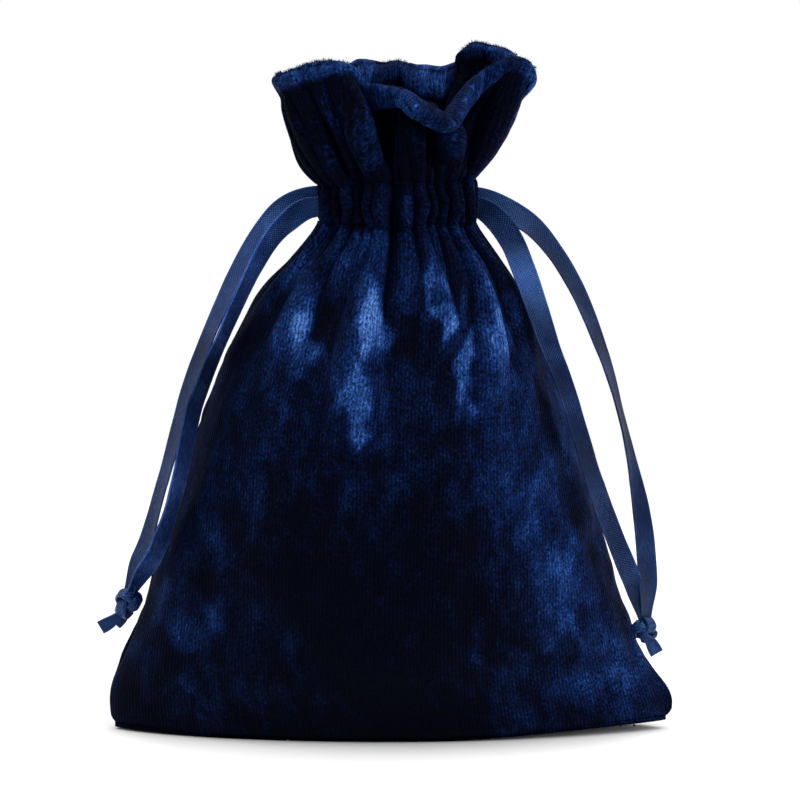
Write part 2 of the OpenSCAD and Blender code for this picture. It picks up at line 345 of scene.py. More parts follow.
def satin_material():
    """Satin ribbon: crossed threads too fine to count, and a corded edge, with painted highlights and
    painted dull stretches along it.
    """
    n = Nodes("satin_ribbon")
    cloth = n.cloth()
    grain = n.noise(n.cloth((5.0, 0.5, 1.0)), 1.0, 3.0, 0.7)
    painted_sheen_drift = n.noise(cloth, 0.07, 2.0)
    weave = []
    for angle in (0.86, -0.86):
        turned = n.add("ShaderNodeVectorRotate", {"Vector": cloth, "Angle": angle},
                       rotation_type="Z_AXIS").outputs["Vector"]
        weave.append(n.bands(turned, 1 / WEAVE_PITCH / BANDS_TO_A_UNIT, 0.5, Detail=1.0))
    dots = n.times(weave[0], weave[1])
    across = n.maths("ABSOLUTE", n.add("ShaderNodeSeparateXYZ", {"Vector": cloth}).outputs["X"])
    edge = n.span(across, RIBBON_W / 2 - 0.55, RIBBON_W / 2 - 0.25, 0.0, 1.0)
    # Where the slow drift runs high the colour lightens: streaks of painted sheen along the ribbon, with
    # the grain's own random tone.
    colour = n.ramp(n.plus(n.times(grain, 0.45), n.times(painted_sheen_drift, 0.55)),
                    [(0.38, (0.003, 0.0075, 0.033)), (0.52, (0.008, 0.020, 0.076)),
                     (0.66, (0.027, 0.062, 0.185))])
    lay_and_painted_light = n.lay_and_painted_light()
    # The lay is a painted shine: it lightens the colour for painted highlights, darkens it for painted
    # dull stretches, and turns the gloss down on these.
    painted_shine = n.maths("MAXIMUM", n.span(lay_and_painted_light, -1, 3, 0.0, 3.6), 0.55)
    fleck = n.times(n.plus(n.span(dots, 0.0, 0.7, 0.42, 2.0), n.times(edge, 0.8)), painted_shine)
    return n.principled({
        "Base Color": n.tint(colour, fleck), "Roughness": n.span(grain, 0.3, 0.7, 0.19, 0.31),
        "Normal": n.bump(n.plus(n.times(grain, 0.35), n.times(dots, 0.65)), 0.75, 0.12),
        "Specular IOR Level": n.span(lay_and_painted_light, -1, 0, 0.06, 0.60),
        "Specular Tint": (0.12, 0.36, 1.0, 1.0), "Anisotropic": 0.5,
        "Sheen Weight": 0.02, "Sheen Roughness": 0.3, "Sheen Tint": (0.25, 0.4, 0.9, 1.0)})


def thread_material():
    """Matt sewing thread with a visible twist."""
    n = Nodes("sewing_thread")
    twist = n.bands(n.add("ShaderNodeTexCoord").outputs["Object"], 900.0, 0.5, "DIAGONAL")
    return n.principled({
        "Base Color": n.ramp(twist, [(0.2, (0.002, 0.004, 0.02)), (0.9, (0.008, 0.018, 0.07))]),
        "Roughness": 0.8, "Specular IOR Level": 0.08, "Normal": n.bump(twist, 0.6, 0.05)})


def floor_material():
    """Plain pale surface with a faint mottling."""
    n = Nodes("pale_floor")
    mottle = n.noise(n.add("ShaderNodeTexCoord").outputs["Object"], 3.0, 2.0)
    return n.principled({
        "Base Color": n.ramp(mottle, [(0.3, (0.90, 0.90, 0.90)), (0.7, (0.93, 0.93, 0.93))]),
        "Roughness": 0.75, "Specular IOR Level": 0.15})


VELVET = velvet_material("crushed_velvet")
# A darker copy of the velvet: painted shade for the turned-in allowances inside the bag.
VELVET_IN_PAINTED_SHADE = velvet_material("velvet_inside_painted_shade", 0.6)
SATIN = satin_material()
THREAD = thread_material()


# ---------------- camera and studio

def look_at(obj, target):
    direction = Vector(target) - obj.location
    obj.rotation_euler = direction.to_track_quat("-Z", "Y").to_euler()


def add_camera():
    """A long lens, seven degrees above the horizontal."""
    data = bpy.data.cameras.new("camera")
    data.sensor_width = 36
    distance, view_width, elevation = 1.0, 0.1905, math.radians(7)
    data.lens = data.sensor_width * distance / view_width
    camera = add_to_scene("camera", data)
    target = Vector((2.1 * MM, 0, (RIM_Z / 2 - 1.0) * MM))
    camera.location = target + distance * Vector((0, -math.cos(elevation), math.sin(elevation)))
    look_at(camera, target)
    bpy.context.scene.camera = camera


def add_light(name, place, size, power, target=(0, 0, 0.085)):
    data = bpy.data.lights.new(name, "AREA")
    data.shape = "RECTANGLE"
    data.size, data.size_y = size
    data.energy = power
    lamp = add_to_scene(name, data)
    lamp.location = place
    look_at(lamp, target)


def add_studio():
    add_light("overhead_softbox", (0.0, -0.1, 1.15), (1.7, 1.7), 21.0, target=(0, -0.05, 0))
    add_light("right_softbox", (0.75, -0.40, 0.34), (0.30, 0.8), 5.0)
    add_light("left_softbox", (-0.80, -0.15, 0.30), (0.25, 0.7), 1.6)
    world = bpy.data.worlds.new("studio")
    world.use_nodes = True
    nodes, links = world.node_tree.nodes, world.node_tree.links
    background = nodes["Background"]
    background.inputs["Color"].default_value = (1, 1, 1, 1)
    path = nodes.new("ShaderNodeLightPath")
    strength = nodes.new("ShaderNodeMapRange")
    strength.inputs["To Min"].default_value = 0.45
    strength.inputs["To Max"].default_value = 1.0
    links.new(path.outputs["Is Camera Ray"], strength.inputs["Value"])
    links.new(strength.outputs["Result"], background.inputs["Strength"])
    bpy.context.scene.world = world
    bpy.context.scene.view_settings.view_transform = "Standard"
    floor_radius, sides = 0.42, 96
    turns = np.linspace(0, 2 * math.pi, sides, endpoint=False)
    corners = [(floor_radius * math.cos(a), floor_radius * math.sin(a), 0) for a in turns]
    mesh = bpy.data.meshes.new("floor")
    mesh.from_pydata(corners, [], [list(range(sides))])
    mesh.materials.append(floor_material())
    add_to_scene("floor", mesh)


add_camera()
add_studio()


# ---------------- ribbons outside the channel

# Routes from the slit to the knot: x, y, z, the turn of the width away from the XZ plane in degrees,
# and the painted shine (-1 painted dull shade, 0 plain, above 0 painted highlight). The first points lie
# inside the neck.
ROUTES = {
    "left_front": [
        (-4.8, -0.65, 125.8, 2, 0), (-15, -0.65, 125.8, 4, 0), (-20, -0.7, 125.2, 8, 0.8),
        (-25, -2.6, 121.8, 36, 1.2), (-29.2, -4.2, 117, 48, 1.6), (-32.5, -6.2, 111, 56, 2.4),
        (-35.8, -9.2, 104, 60, 1.1), (-39.5, -12.2, 96, 62, 0.6), (-43, -14.8, 88, 60, -0.2),
        (-45.8, -16.6, 80.6, 56, -0.4), (-47.8, -17.4, 72, 56, 1), (-49.8, -17.4, 62, 58, 0.9),
        (-52.6, -16, 52.5, 56, 0.5), (-56, -13.8, 44, 48, 0.5), (-59.2, -11.6, 38.6, 48, 0.4),
        (-61.6, -10.2, 34.6, 60, 0.3)],
    "left_back": [
        (-4.8, 0.65, 128.2, 2, 0), (-15, 0.65, 128.4, 0, 0), (-20, 0.7, 127.6, -8, 0.3),
        (-25.6, 1.4, 124.8, -26, 0.5), (-30.5, 1, 119.6, -40, 0.8), (-34.9, 0, 112.8, -50, 0.6),
        (-39, -1.2, 105.2, -56, 0.7), (-43.4, -2.8, 95.4, -60, 0), (-47.1, -4.4, 85.6, -60, -0.2),
        (-50.1, -5.6, 76, -62, 0.2), (-52.8, -6.6, 66, -64, 0), (-55.6, -7.4, 56, -64, 0),
        (-58.4, -8, 46.5, -58, -0.2), (-60.8, -8.6, 40, -54, -0.2), (-62.3, -9.2, 34.6, -54, -0.2)],
    "right_front": [
        (7, -0.65, 125.8, 0, 0), (16, -0.65, 126, 0, 0), (21, -0.8, 125.4, 4, -0.5),
        (25, -2.8, 122.7, 14, -0.7), (28.5, -4.9, 117.8, 26, -0.85), (31.2, -7.6, 111.4, 30, 1.2),
        (34, -10.4, 103.4, 34, 0), (37.1, -13.4, 94.4, 44, -0.85), (40.5, -16, 85.6, 51, -0.8),
        (43.6, -17.6, 76, 52, -0.8), (46.6, -18, 66, 52, -0.6), (49.8, -17, 56.4, 50, -0.7),
        (53.4, -15.2, 47, 48, -0.75), (57, -12.8, 38, 46, -0.78), (60, -10.6, 28.6, 56, -0.7)],
    "right_back": [
        (7, 0.65, 128.2, 2, 0), (16, 0.65, 128.3, 4, 0), (21, 0.8, 127.6, 10, -0.2),
        (26, 1.6, 125.6, 30, -0.3), (33, 1.6, 121.4, 42, -0.35), (39, 0.9, 114.6, 52, -0.5),
        (43.4, -0.2, 107.4, 56, -0.35), (47.7, -1.8, 98, 62, -0.3), (51.4, -3.4, 87.6, 70, -0.3),
        (54.4, -4.8, 77, 78, -0.4), (57, -6.2, 66, 68, -0.8), (59.2, -7.4, 55, 50, -0.9),
        (60.4, -8.4, 45, 42, -0.88), (60.9, -9.2, 36, 42, -0.4), (60.5, -9.8, 28.6, 50, -0.5)],
}
# Knots: centre, lean to the right in degrees, and height as a share of the width.
KNOTS = {"left": ((-62.6, -9.4, 32.3), 24, 1.38), "right": ((60.2, -10.2, 25.9), -32, 1.12)}
# Tails, two a side: x, y, z and turn, as in the routes.
TAILS = {
    "left_a": [(-62.8, -9.8, 31, 30), (-64.4, -10.6, 29.2, 30), (-66.3, -11, 27.8, 24),
               (-68.9, -11.2, 26.4, 16)],
    "left_b": [(-62.4, -9, 31, 50), (-63, -7.8, 29, 50), (-64.2, -7.4, 27.6, 46),
               (-65.6, -7.2, 26.4, 40)],
    "right_a": [(60.4, -10.4, 27, 50), (61.2, -11.2, 24.4, 40), (62, -11.6, 22.6, 34),
                (63.1, -11.8, 20.4, 28)],
    "right_b": [(60.4, -9.6, 27, 60), (60.9, -8.8, 24.6, 66), (61.5, -8.4, 23, 66),
                (62.4, -8.2, 21.6, 60)],
}
TAIL_RINGS = 36
KNOT_SIZE = 0.74
KNOT_BAND = (1.95, 0.95)  # half width and half thickness of the crushed ribbon


def reach_of(places):
    """How far along a line of places each of them is."""
    return np.concatenate([[0], np.cumsum(np.linalg.norm(np.diff(places, axis=0), axis=1))])


def along_route(points, rings):
    """The route's columns at even steps along a smooth curve through its points, and its length."""
    points = np.array(points, float)
    reach = reach_of(points[:, :3])
    fine = curve_through(reach, points, np.linspace(0, reach[-1], 800))
    true = reach_of(fine[:, :3])
    steps = np.linspace(0, true[-1], rings)
    return np.stack([np.interp(steps, true, column) for column in fine.T], axis=1), true[-1]


def ribbon_grid(points, rings, seed, pinch=0.0, curl=0.35):
    """Middle surface, thickness and cloth coordinates of a ribbon along a route."""
    line, length = along_route(points, rings)
    place = line[:, :3]
    tangent = unit(np.gradient(place, axis=0))
    flat = unit(np.cross(tangent, [0, 1, 0]))
    turn = np.radians(line[:, 3:4])
    wide = flat * np.cos(turn) + np.cross(flat, tangent) * np.sin(turn)
    thick = np.cross(wide, tangent)
    across = np.sin(np.linspace(-math.pi / 2, math.pi / 2, 17))[None, :]
    reach = np.linspace(0, length, rings)[:, None]
    share = 1 - pinch * (1 - smoothstep(reach, 10, 24)) - 0.35 * smoothstep(reach, length - 9, length)
    free = smoothstep(reach, 11, 20) if length > 40 else 1.0
    bow = curl * free * (1 - across ** 2) * (0.6 + 0.4 * noise(reach / 17, 0, seed))
    ripple = 0.12 * free * noise(reach / 6, across * 1.3, seed + 1)
    half = across * RIBBON_W / 2
    middle = (place[:, None] + wide[:, None] * (half * share)[..., None]
              + thick[:, None] * (bow + ripple)[..., None])
    edge = np.abs(across) + 0 * reach
    thickness = RIBBON_T * (1 + 0.55 * bell(edge, 0.94, 0.05)) * rounded(1 - edge, 0.07)
    columns = [half, reach] + [line[:, 4:]] * (line.shape[1] > 4)
    uv = np.stack([np.broadcast_to(column, edge.shape) for column in columns], axis=-1)
    return middle, thickness, uv, place, length


def add_strand(side, layer, seed):
    """A ribbon from inside the neck to its knot; the front one also stands in for the bends."""
    middle, thickness, uv, place, length = ribbon_grid(ROUTES[f"{side}_{layer}"], 230, seed, pinch=0.25)
    strand = make_object(f"{side}_{layer}_ribbon", *slab(middle, thickness, uv), SATIN, None,
                         "satin_ribbon")
    replaced = [f"{side}_{layer}_strand"] + ([f"{side}_bends"] if layer == "front" else [])
    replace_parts(strand, *replaced)
    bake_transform(strand)
    return strand, place, length


def add_tails(side, seed):
    """The two cut ends below the knot, as one piece."""
    parts = []
    for k, letter in enumerate("ab"):
        middle, thickness, uv, _, _ = ribbon_grid(TAILS[f"{side}_{letter}"], TAIL_RINGS, seed + 5 * k,
                                                  curl=0.9)
        squeeze = 0.35 + 0.50 * smoothstep(np.linspace(0, 1, TAIL_RINGS), 0.15, 0.9)
        centre = middle.mean(axis=1, keepdims=True)
        parts.append(slab(centre + (middle - centre) * squeeze[:, None, None], thickness, uv))
    tails = make_object(f"{side}_ribbon_tails", *join(parts), SATIN, f"{side}_loop", "satin_ribbon")
    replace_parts(tails, f"{side}_tails")
    return tails


def add_knot(side, seed):
    """An overhand knot: a band of ribbon, crushed narrow, pulled into a tight trefoil."""
    centre, lean, tall = KNOTS[side]
    rings, around = 300, 24
    t = np.linspace(0, 2 * math.pi, rings, endpoint=False)
    path = KNOT_SIZE * np.stack([np.sin(t) + 2 * np.sin(2 * t), -1.5 * np.sin(3 * t),
                                 tall * (np.cos(t) - 2 * np.cos(2 * t))], axis=1)
    tangent = unit(np.roll(path, -1, axis=0) - np.roll(path, 1, axis=0))
    radial = unit(path - tangent * np.sum(path * tangent, axis=1, keepdims=True))
    wide = np.cross(tangent, radial)
    angle = np.linspace(0, 2 * math.pi, around, endpoint=False)[None, :]
    crumple = 1 + 0.16 * noise(t[:, None] * 2.6, np.cos(angle) * 1.1, seed)
    pleat = 1 + 0.20 * np.cos(4 * angle + 0.6)
    verts = (path[:, None] + wide[:, None] * (KNOT_BAND[0] * np.cos(angle) * crumple)[..., None]
             + radial[:, None] * (KNOT_BAND[1] * np.sin(angle) * crumple * pleat)[..., None])
    lean = math.radians(lean)
    turn = np.array([[math.cos(lean), 0, math.sin(lean)], [0, 1, 0],
                     [-math.sin(lean), 0, math.cos(lean)]])
    verts = verts.reshape(-1, 3) @ turn.T + np.array(centre)
    index = np.pad(np.arange(rings * around).reshape(rings, around), (0, 1), mode="wrap")
    length = np.linalg.norm(np.roll(path, -1, axis=0) - path, axis=1).sum()
    across, down = np.meshgrid(2.0 * np.cos(angle), t / (2 * math.pi) * length)
    uv = np.stack([across, down], axis=-1).reshape(-1, 2)
    knot = make_object(f"{side}_ribbon_knot", verts, grid_quads(index)[:, ::-1], uv, SATIN,
                       f"{side}_loop", "satin_ribbon")
    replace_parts(knot, f"{side}_knot")
    return knot


for number, side in enumerate(("left", "right")):
    knot = add_knot(side, 31 + number)
    tails = add_tails(side, 41 + number)
    for layer in ("front", "back"):
        strand, place, length = add_strand(side, layer, 50 + 7 * number + (layer == "back"))


# ---------------- folds of the gathered cloth

# Outline of the body: height, then half width, half depth, pointedness at the seam and sideways
# shift. Widths and depths are shares of the base's half width and the belly's half depth.
OUTLINE_Z = np.array([0, 3, 8, 14, 20, 28, 42, 58, 72, 85, 97, 106, 112, 117, 121.2])
OUTLINE = np.array([
    [1.005, 0.46, 1.45, -0.2], [1.008, 0.52, 1.45, -0.5], [0.998, 0.6, 1.42, -1.2],
    [0.96, 0.7, 1.36, -1.8], [0.918, 0.79, 1.3, -2.1], [0.866, 0.88, 1.24, -2.3],
    [0.803, 0.965, 1.14, -2.1], [0.738, 1, 1.06, -1.7], [0.676, 0.96, 1.02, -1.6],
    [0.6, 0.87, 1, -1.3], [0.517, 0.725, 1, -0.6], [0.432, 0.57, 1, 0.2], [0.354, 0.45, 1, 0.9],
    [0.302, 0.36, 1, 1.2], [0.28, 0.318, 1, 1.3]])
NECK_W, NECK_D, NECK_SHIFT = 17.0, 10.4, 1.3
NECK_GATHER = 1.76
GATHER_SPREAD = 1.28  # how far a gather reaches, as a share of its width
SLIT_GAP = 3.1

# In these tables, and as front below, 1 is the front and -1 the back.
# Gathers: place at the neck, place where it fades, how far it stands out, height where it fades,
# width at the neck. Places go from -1 at one side seam to 1 at the other.
FOLDS = {
    1: [
        (-0.95, -0.94, 1.2, 104, 0.05), (-0.81, -0.73, 1.9, 92, 0.068),
        (-0.67, -0.58, 1.3, 102, 0.052), (-0.53, -0.42, 2.6, 78, 0.064),
        (-0.39, -0.31, 1.4, 104, 0.056), (-0.27, -0.2, 1.7, 100, 0.046),
        (-0.155, -0.075, 3, 56, 0.06), (0.085, 0.1, 1.9, 92, 0.074), (0.235, 0.21, 2.6, 84, 0.055),
        (0.345, 0.27, 1.1, 110, 0.042), (0.465, 0.36, 1.5, 104, 0.058),
        (0.59, 0.31, 2.9, 66, 0.05), (0.705, 0.52, 1.4, 98, 0.048), (0.835, 0.66, 2.3, 74, 0.064),
        (0.955, 0.88, 1.3, 92, 0.046)],
    -1: [
        (-0.95, -0.93, 1.4, 96, 0.052), (-0.82, -0.74, 2.2, 82, 0.062),
        (-0.68, -0.6, 1.4, 100, 0.056), (-0.54, -0.46, 2.4, 76, 0.066),
        (-0.4, -0.33, 1.3, 104, 0.052), (-0.27, -0.22, 2, 94, 0.058), (-0.13, -0.1, 2.8, 62, 0.07),
        (0.02, 0.02, 1.4, 102, 0.056), (0.15, 0.12, 2.3, 86, 0.06), (0.29, 0.24, 1.5, 100, 0.054),
        (0.42, 0.34, 2.7, 70, 0.064), (0.56, 0.48, 1.4, 104, 0.054), (0.69, 0.6, 2.1, 84, 0.06),
        (0.82, 0.74, 1.6, 96, 0.056), (0.95, 0.92, 1.3, 98, 0.048)],
}


def side_name(front):
    return "front" if front > 0 else "back"


def neck_height(tall):
    """Height of a gather in the neck, where even the slight ones are drawn together."""
    return NECK_GATHER * (1 + 0.55 * tall)


def body_gathers(s, z, front):
    """How far the gathers stand out below the neck: round on top, with creases between them."""
    best = np.zeros(np.broadcast(s, z).shape)
    for neck, low, tall, fade, width in FOLDS[front]:
        down = np.clip((CHANNEL_Z - z) / (CHANNEL_Z - fade), 0, 1.2)
        reach = (s - (neck + (low - neck) * down)) / (GATHER_SPREAD * width * (1 + 0.8 * down))
        swell = tall * (1 - smoothstep(down, 0.15, 1.0))
        swell = swell * (1 + 0.3 * np.sin(math.pi * np.minimum(down, 1)))
        held = smoothstep(z, 98, 119)
        swell = 1.45 * swell * (1 - held) + neck_height(tall) * held
        best = np.maximum(best, swell * np.clip(1 - reach ** 2, 0, 1) ** 0.8)
    return best


def neck_gathers(s, front):
    """The same gathers where the stitching holds them."""
    best = np.zeros(np.shape(s))
    for neck, _, tall, _, width in FOLDS[front]:
        reach = (s - neck) / (GATHER_SPREAD * width)
        best = np.maximum(best, neck_height(tall) * np.clip(1 - reach ** 2, 0, 1) ** 0.8)
    return best


def way_out(angle, half_w, half_d, front):
    """The outward direction, x and y, of an ellipse at an angle from its front or back."""
    x, y = np.sin(angle) / half_w, -front * np.cos(angle) / half_d
    size = np.hypot(x, y)
    return x / size, y / size


def neck_curve(s, front, inset, share, sway=0.0):
    """Place, and way out, of the gathered neck at cloth place s. share scales the gathers and sway
    moves them sideways."""
    half_w, half_d = NECK_W - inset, NECK_D - inset
    angle = s * np.arccos(SLIT_GAP / half_d)
    push = neck_gathers(s + sway, front) * share
    out_x, out_y = way_out(angle, half_w, half_d, front)
    x = NECK_SHIFT + half_w * np.sin(angle) + out_x * push
    y = -front * half_d * np.cos(angle) + out_y * push
    return x, np.where(front * y > -SLIT_GAP, -front * SLIT_GAP, y), out_x, out_y


def line_wander(s, front, line):
    """How far a stitch line strays from its height: 0 is the lower line, 1 the upper one."""
    start = 7 * line + (20 if front < 0 else 0)
    return 0.8 * noise(s * 2.6 + start, 0.4, 71) + 0.35 * noise(s * 8 + start, 0.6, 72)


def cloth_uv(middle, v, lay_and_painted_light=None):
    """Cloth coordinates: distance along each row from its middle, height v, and the lay, the pile's lay
    with painted light.
    """
    step = np.linalg.norm(np.diff(middle, axis=1), axis=2)
    run = np.concatenate([np.zeros((len(middle), 1)), np.cumsum(step, axis=1)], axis=1)
    run -= run[:, [run.shape[1] // 2]]
    columns = [run, np.broadcast_to(v, run.shape)] + ([] if lay_and_painted_light is None else [lay_and_painted_light])
    return np.stack(columns, axis=-1)


BACK_START = 400.0  # where the back's cloth starts, so that its pattern differs from the front's


def add_cloth(name, middle, thickness, v, front, lay_and_painted_light, closed=(False, False, True, True), even=False):
    """A velvet piece from its middle surface, turned so that its outside faces out.

    Its ribs follow the cloth's own columns where even is set, and else keep their distance."""
    lay_and_painted_light = np.broadcast_to(lay_and_painted_light, thickness.shape)
    if front < 0:
        middle, thickness, lay_and_painted_light = middle[:, ::-1], thickness[:, ::-1], lay_and_painted_light[:, ::-1]
    uv = cloth_uv(middle, v, lay_and_painted_light)
    if even:
        uv[..., 0] = uv[:1, :, 0] * CLOTH_HALF_W / np.abs(uv[0, :, 0]).max()
    uv[..., 0] += BACK_START if front < 0 else 0
    return make_object(name, *slab(middle, thickness, uv, closed), VELVET, None, "velvet")


def wall(s, z, front):
    """Points of the body's wall, and the way out of it, before any gathers."""
    row = curve_through(OUTLINE_Z, OUTLINE, z)
    half_w = row[..., 0] * BASE_HALF_W
    half_d = row[..., 1] * BELLY_HALF_D
    slit = np.arccos(np.clip(SLIT_GAP / half_d, 0, 1))
    angle = s * (math.pi / 2 + (slit - math.pi / 2) * smoothstep(z, 109, 121))
    x = row[..., 3] + half_w * np.sin(angle)
    y = -front * half_d * np.maximum(np.cos(angle), 0) ** row[..., 2]
    return x, y, *way_out(angle, half_w, half_d, front)


# Painted highlights: patches of pile painted lighter where the light catches it. x, z, half width, half
# height, strength.
PAINTED_HIGHLIGHT_PATCHES = {
    1: [
        (-4.3, 97, 2.7, 9, 0.4), (-8.6, 81.5, 3.3, 8.5, 0.44), (-20.2, 93.5, 4.2, 6.5, 0.42),
        (-6.5, 104, 3.5, 7, 0.22), (9.6, 108, 2, 7, 0.38), (11.6, 98.5, 2.2, 4, 0.4),
        (18.6, 89, 2.3, 9.5, 0.5), (15.5, 104, 1.8, 7, 0.25), (27, 100, 2.4, 8, 0.24),
        (-47, 29, 7, 8, 0.26), (30, 60, 9, 12, 0.12), (41, 38, 8, 14, 0.16), (50, 16, 9, 9, 0.12),
        (-14, 113, 2, 4, 0.15), (3, 66, 5, 6, 0.1), (-34, 66, 6, 9, 0.12)],
    -1: [
        (6, 88, 3, 13, 0.5), (-16, 96, 3.4, 8, 0.42), (24, 90, 3, 9, 0.4), (-30, 84, 3.2, 8, 0.28),
        (34, 40, 9, 14, 0.18), (-44, 28, 8, 10, 0.22), (-4, 60, 6, 8, 0.12)],
}


def panel_pile_and_painted_light(x, z, gather, front, seed):
    """Lay of a panel's pile with painted light, from 0 for black to 1 for a painted highlight."""
    drift_x = 2.6 * noise(x / 5, z / 7, seed) + 1.2 * noise(x / 2.1, z / 3.1, seed + 1)
    drift_z = 3.4 * noise(x / 6, z / 6, seed + 2) + 1.6 * noise(x / 2.4, z / 2.6, seed + 3)
    # Painted light: lighter higher up and on the gathers, darker in the neck, in the creases between
    # gathers, at the lower middle and along the bottom as painted shade, and lighter on the right flank
    # as a painted highlight.
    lay_and_painted_light = 0.22 + 0.07 * smoothstep(z, 62, 100) + 0.045 * gather - 0.08 * smoothstep(z, 100, 118)
    lay_and_painted_light = lay_and_painted_light - 0.20 * (1 - smoothstep(gather, 0.2, 2.0)) * smoothstep(z, 82, 104)
    lay_and_painted_light = lay_and_painted_light + 0.17 * smoothstep(x, 8, 44) * (1 - 0.5 * smoothstep(z, 70, 100))
    lay_and_painted_light = lay_and_painted_light - 0.20 * bell(x, -6, 30) * (1 - smoothstep(z, 34, 72))
    lay_and_painted_light = lay_and_painted_light - 0.10 * (1 - smoothstep(z, 2, 14))
    for at_x, at_z, half_w, half_h, strength in PAINTED_HIGHLIGHT_PATCHES[front]:
        away = ((x + drift_x - at_x) / half_w) ** 2 + ((z + drift_z - at_z) / half_h) ** 2
        lay_and_painted_light = lay_and_painted_light + strength * (1 - smoothstep(np.sqrt(away), 0.55, 1.35))
    return lay_and_painted_light


def add_seam_pile(front, middle, seed):
    """Loose pile where the panel turns in at its two side seams."""
    roots = np.concatenate([middle[24:180, k] for k in (2, 4, -5, -3)])
    ways = np.sign(roots[:, :1]) * [1, 0, 0] + [0, -0.35 * front, 0.1]
    return add_pile_fringe(f"{side_name(front)}_seam_pile", roots, ways, 2400, seed, "bag", 0.55)


def add_panel(front, seed):
    """One panel of the body: underside, rounded bottom edge, wall, gathers and turned-in seams."""
    which = side_name(front)
    columns, under, rows = 221, 14, 190
    even = np.linspace(-1, 1, columns)
    s = (0.6 * even + 0.4 * np.sin(even * math.pi / 2))[None, :]
    seam = np.abs(s)
    z_wall = (CHANNEL_Z + 0.6) * np.linspace(0.0, 1, rows) ** 0.95
    z = np.concatenate([np.zeros(under), z_wall])[:, None]
    share = np.concatenate([np.linspace(0.0, 0.97, under), np.ones(rows)])[:, None]
    x, y, out_x, out_y = wall(s, z + 0 * s, front)
    x, y = x * (0.985 + 0.015 * share), y * share
    tuck = 1.6 * (1 - smoothstep(z, 0, 2.6)) * (share > 0.98)
    x, y = x - out_x * tuck * 0.5, y - out_y * tuck
    # Gathers and dents push the wall out, and the stitching at its top and sides holds it in.
    u_mm, v_mm = s * CLOTH_HALF_W, z + (share - 1) * 18
    gather = body_gathers(s, z, front)
    dents = (1.35 * noise(u_mm / 26, v_mm / 34, seed) + 0.6 * noise(u_mm / 11, v_mm / 15, seed + 1)
             + 0.25 * noise(u_mm / 5, v_mm / 6.5, seed + 2))
    pucker = 0.5 * noise(z / 4.5, 3 * front, seed + 3) * np.exp(-(1 - seam) / 0.07)
    push = gather * (1 - 0.20 * smoothstep(z, 115, 121.5)) - 0.5 * smoothstep(z, 117, 121.5)
    push = push - 1.5 * smoothstep(z, 92, 116)
    push = push + (dents * (1 - 0.7 * smoothstep(z, 92, 112)) + pucker) * smoothstep(z, 4, 26)
    push = push * (1 - smoothstep(seam, 0.965, 1.0))
    x, y = x + out_x * push, y + out_y * push
    # The cloth turns in at the side seams, and its right corner sticks out.
    x = x - np.sign(s) * smoothstep(seam, 0.982, 1.0) * 1.1
    x = x + 1.7 * smoothstep(s, 0.90, 1.0) * bell(z, 5.5, 6) * (z > 0.01)
    y = y - front * 0.18 * (share > 0)
    lift = (2.2 * smoothstep(x, 8, 62) + 0.5 * smoothstep(-x, 40, 66)) * (1 - smoothstep(z, 0, 26))
    stray = line_wander(s, front, 0) * smoothstep(z, 100, 121)
    middle = np.stack([x, y, z + lift + stray + 0.55], axis=-1)
    thickness = np.sqrt(1 - smoothstep(seam, 0.99, 1.0) ** 2) * np.ones(x.shape)
    # The lay is painted light and shade from the panel's shape and listed patches, plus a painted
    # highlight on the right flanks of the gathers.
    lay_and_painted_light = panel_pile_and_painted_light(x, z + 0 * s, gather, front, seed + 50) + 0.075 * painted_light_flank(gather, s, 40)
    piece = add_cloth(f"{which}_panel_velvet", middle, thickness, v_mm, front, lay_and_painted_light)
    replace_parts(piece, f"{which}_panel")
    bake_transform(piece)
    add_seam_pile(front, middle, seed + 60)


def painted_light_flank(height, s, steep):
    """From -1 on the left flank of a fold to 1 on its right flank; added to the lay it paints a
    highlight on the right flanks and painted shade on the left.
    """
    return np.clip(-np.gradient(height, axis=1) / np.gradient(np.ravel(s))[None, :] / steep, -1, 1)


def band(front, z, inset, share, puff, thick, columns=241, sway=0.0):
    """Middle surface and thickness of a layer that goes round the neck."""
    s = np.linspace(-1, 1, columns)[None, :]
    x, y, out_x, out_y = neck_curve(s, front, inset, share, sway)
    x, y = x + out_x * puff, y + out_y * puff
    middle = np.stack([x, y, z + 0 * s], axis=-1)
    return middle, thick * rounded(1 - np.abs(s), 0.02) * np.ones(x.shape)


def add_channel(front, seed):
    """The tube that holds the ribbons: drawn in at its two stitch lines and full between them."""
    which = side_name(front)
    t = np.linspace(0, 1, 44)[:, None]
    z = CHANNEL_Z + 0.1 + t * (FLAP_Z - CHANNEL_Z - 0.7)
    s = np.linspace(-1, 1, 241)[None, :]
    full = np.sin(math.pi * t) ** 0.7
    groove = bell(t, 0.07, 0.06) + bell(t, 0.93, 0.06)
    wander = 0.85 * noise(s * 7, z / 9, seed) + 0.5 * noise(s * 17, z / 4, seed + 1)
    puff = 0.2 * full - 0.42 * groove + wander
    sway = 0.034 * noise(s * 4, z / 6, seed + 7) + 0.016 * noise(s * 9, z / 3, seed + 8)
    sway = sway * np.sin(math.pi * t)
    thick = np.sqrt(1 - np.abs(2 * t - 1) ** 14)
    middle, thickness = band(front, z, 0.0, 0.80 + 0.20 * full, puff, thick, sway=sway)
    middle[..., 2] += line_wander(s, front, 0) * (1 - t) + line_wander(s, front, 1) * t
    gather = neck_gathers(s + sway, front)
    # Painted light in the channel: kept dark as painted shade, lighter on the gathers and on their right
    # flanks as painted highlights; the noise is the pile's own random tone.
    lay_and_painted_light = -0.04 + 0.07 * gather + 0.07 * painted_light_flank(gather, s, 45) + 0.15 * noise(s * 8, z / 6, seed + 5)
    piece = add_cloth(f"{which}_channel_velvet", middle, thickness, z, front, lay_and_painted_light,
                      closed=(True, True, True, True))
    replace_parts(piece, f"{which}_channel")
    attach(piece, f"{which}_neck")
    add_lining(front)


